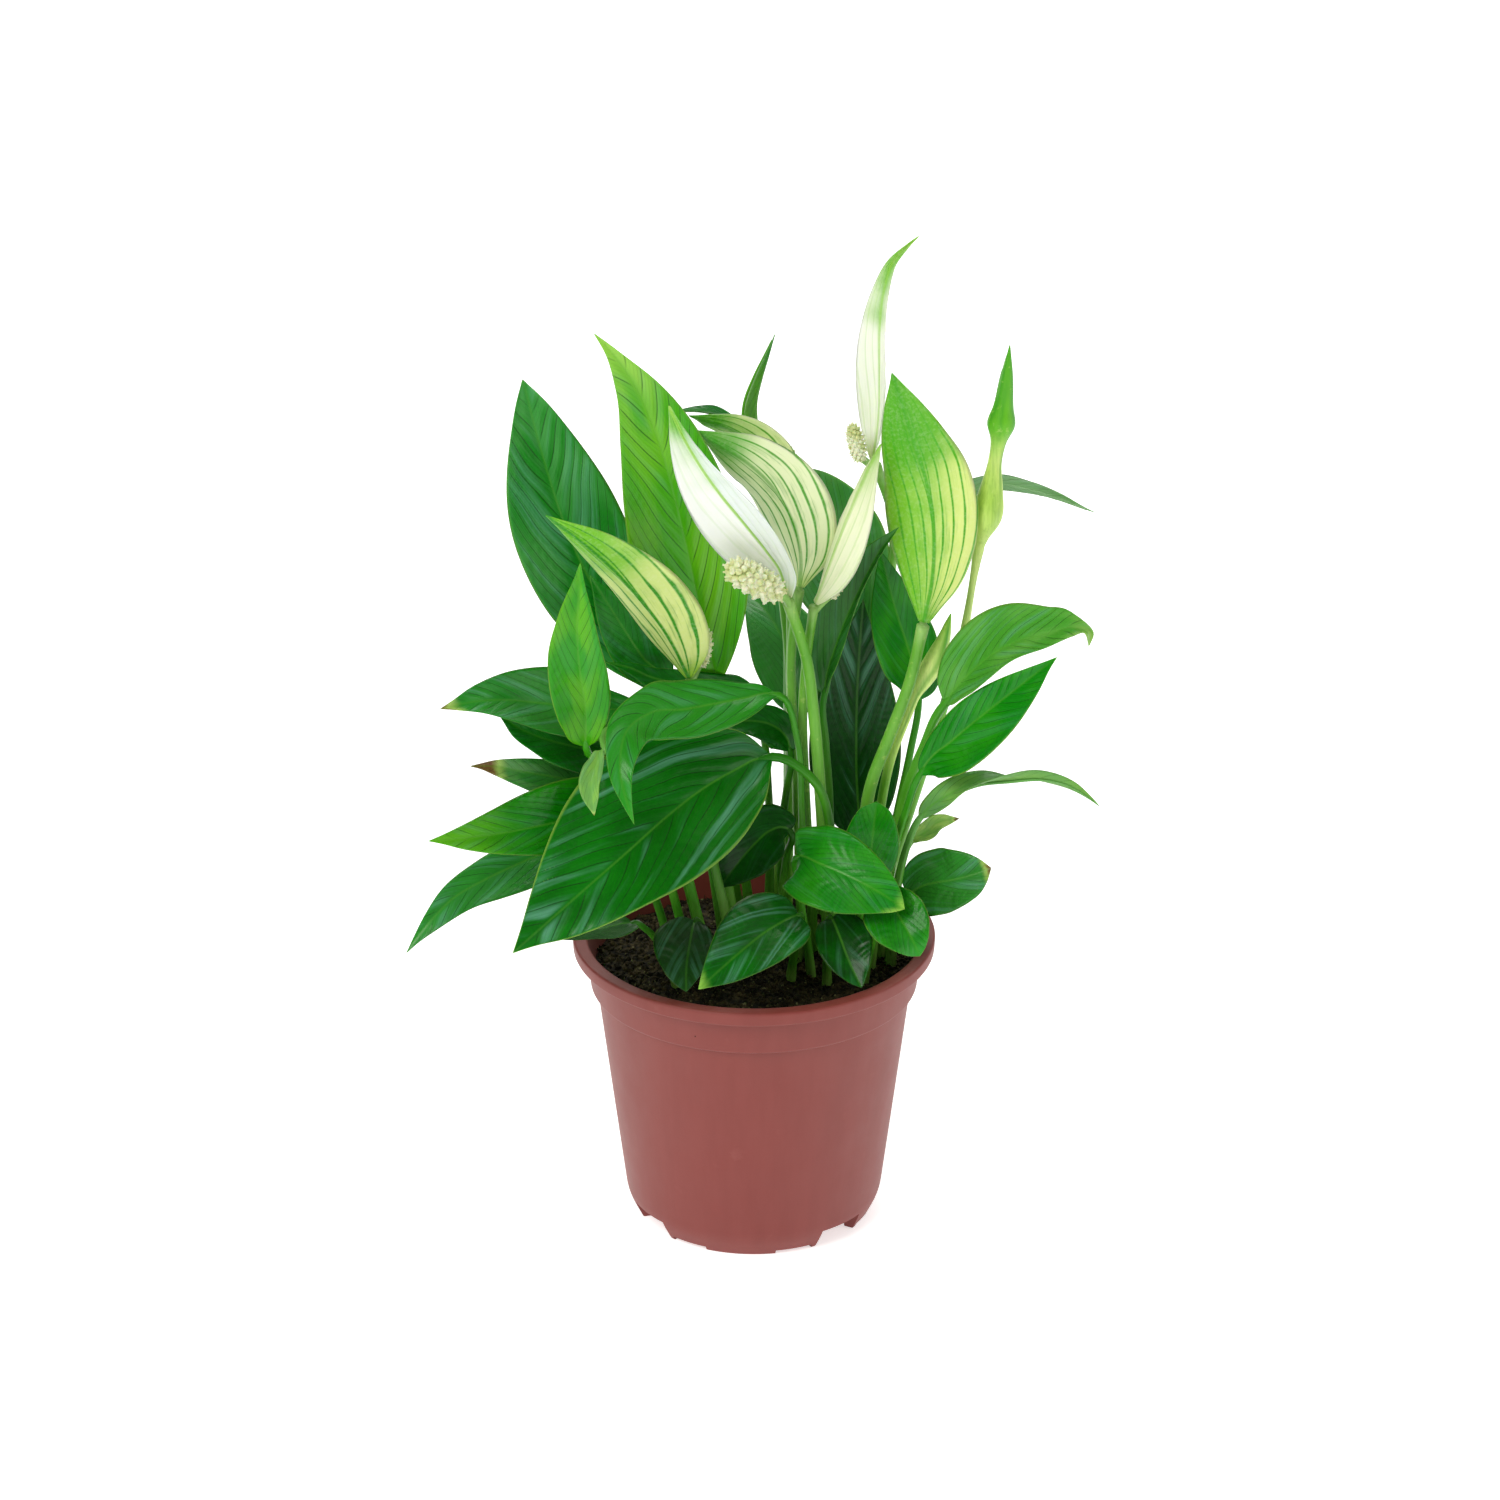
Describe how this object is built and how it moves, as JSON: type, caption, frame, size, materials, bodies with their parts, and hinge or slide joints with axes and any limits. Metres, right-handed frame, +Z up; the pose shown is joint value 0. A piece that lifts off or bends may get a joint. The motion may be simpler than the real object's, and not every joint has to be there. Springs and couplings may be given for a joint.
{
  "type": "potted peace lily",
  "caption": "Flowering peace lily in a tapered terracotta-coloured nursery pot: a dense clump of pointed glossy leaves, pale spathes on thin stalks, dark peat",
  "frame": {"origin": "middle of the foot of the pot, on the surface it stands on, on the pot's axis", "axes": "+Z up along the pot's axis, -Y the front that shows the broad drooping leaf, +X to the right seen from the front"},
  "size_m": [0.224, 0.16, 0.334],
  "materials": {
    "terracotta_plastic": "satin",
    "peat": "matte",
    "leaf_deep_green": "satin",
    "leaf_fresh_green": "satin",
    "stalk_green": "satin",
    "spathe_white": "satin",
    "spathe_striped": "satin",
    "spadix_cream": "matte"
  },
  "bodies": {
    "root": {"pot": "terracotta_plastic", "soil": "peat", "leaf_01": "leaf_deep_green", "leaf_02": "leaf_fresh_green", "leaf_03": "leaf_deep_green", "leaf_04": "leaf_fresh_green", "leaf_05": "leaf_deep_green", "leaf_06": "leaf_deep_green", "leaf_07": "leaf_deep_green", "leaf_08": "leaf_deep_green", "leaf_09": "leaf_deep_green", "leaf_10": "leaf_fresh_green", "leaf_11": "leaf_fresh_green", "leaf_12": "leaf_fresh_green", "leaf_13": "leaf_fresh_green", "leaf_14": "leaf_deep_green", "leaf_15": "leaf_fresh_green", "leaf_16": "leaf_fresh_green", "leaf_17": "leaf_fresh_green", "leaf_18": "leaf_deep_green", "leaf_19": "leaf_fresh_green", "leaf_20": "leaf_deep_green", "leaf_21": "leaf_deep_green", "leaf_22": "leaf_deep_green", "leaf_23": "leaf_fresh_green", "leaf_24": "leaf_fresh_green", "leaf_25": "leaf_fresh_green", "leaf_26": "leaf_deep_green", "leaf_27": "leaf_deep_green", "leaf_28": "leaf_deep_green", "leaf_29": "leaf_fresh_green", "leaf_30": "leaf_deep_green", "leaf_31": "leaf_deep_green", "leaf_32": "leaf_deep_green", "leaf_33": "leaf_fresh_green", "leaf_34": "leaf_deep_green", "leaf_35": "leaf_deep_green", "flower_1_stalk": "stalk_green", "flower_1_spathe": "spathe_white", "flower_1_spadix": "spadix_cream", "flower_2_stalk": "stalk_green", "flower_2_spathe": "spathe_white", "flower_2_spadix": "spadix_cream", "flower_3_stalk": "stalk_green", "flower_3_spathe": "spathe_striped", "flower_3_spadix": "spadix_cream", "flower_4_stalk": "stalk_green", "flower_4_spathe": "spathe_striped", "flower_4_spadix": "spadix_cream", "flower_5_stalk": "stalk_green", "flower_5_spathe": "spathe_white", "flower_5_spadix": "spadix_cream", "flower_6_stalk": "stalk_green", "flower_6_spathe": "spathe_striped", "flower_6_spadix": "spadix_cream", "flower_7_stalk": "stalk_green", "flower_7_spathe": "spathe_striped", "flower_7_spadix": "spadix_cream", "bud_1": "spathe_striped", "bud_2": "spathe_striped"}
  },
  "joints": []
}
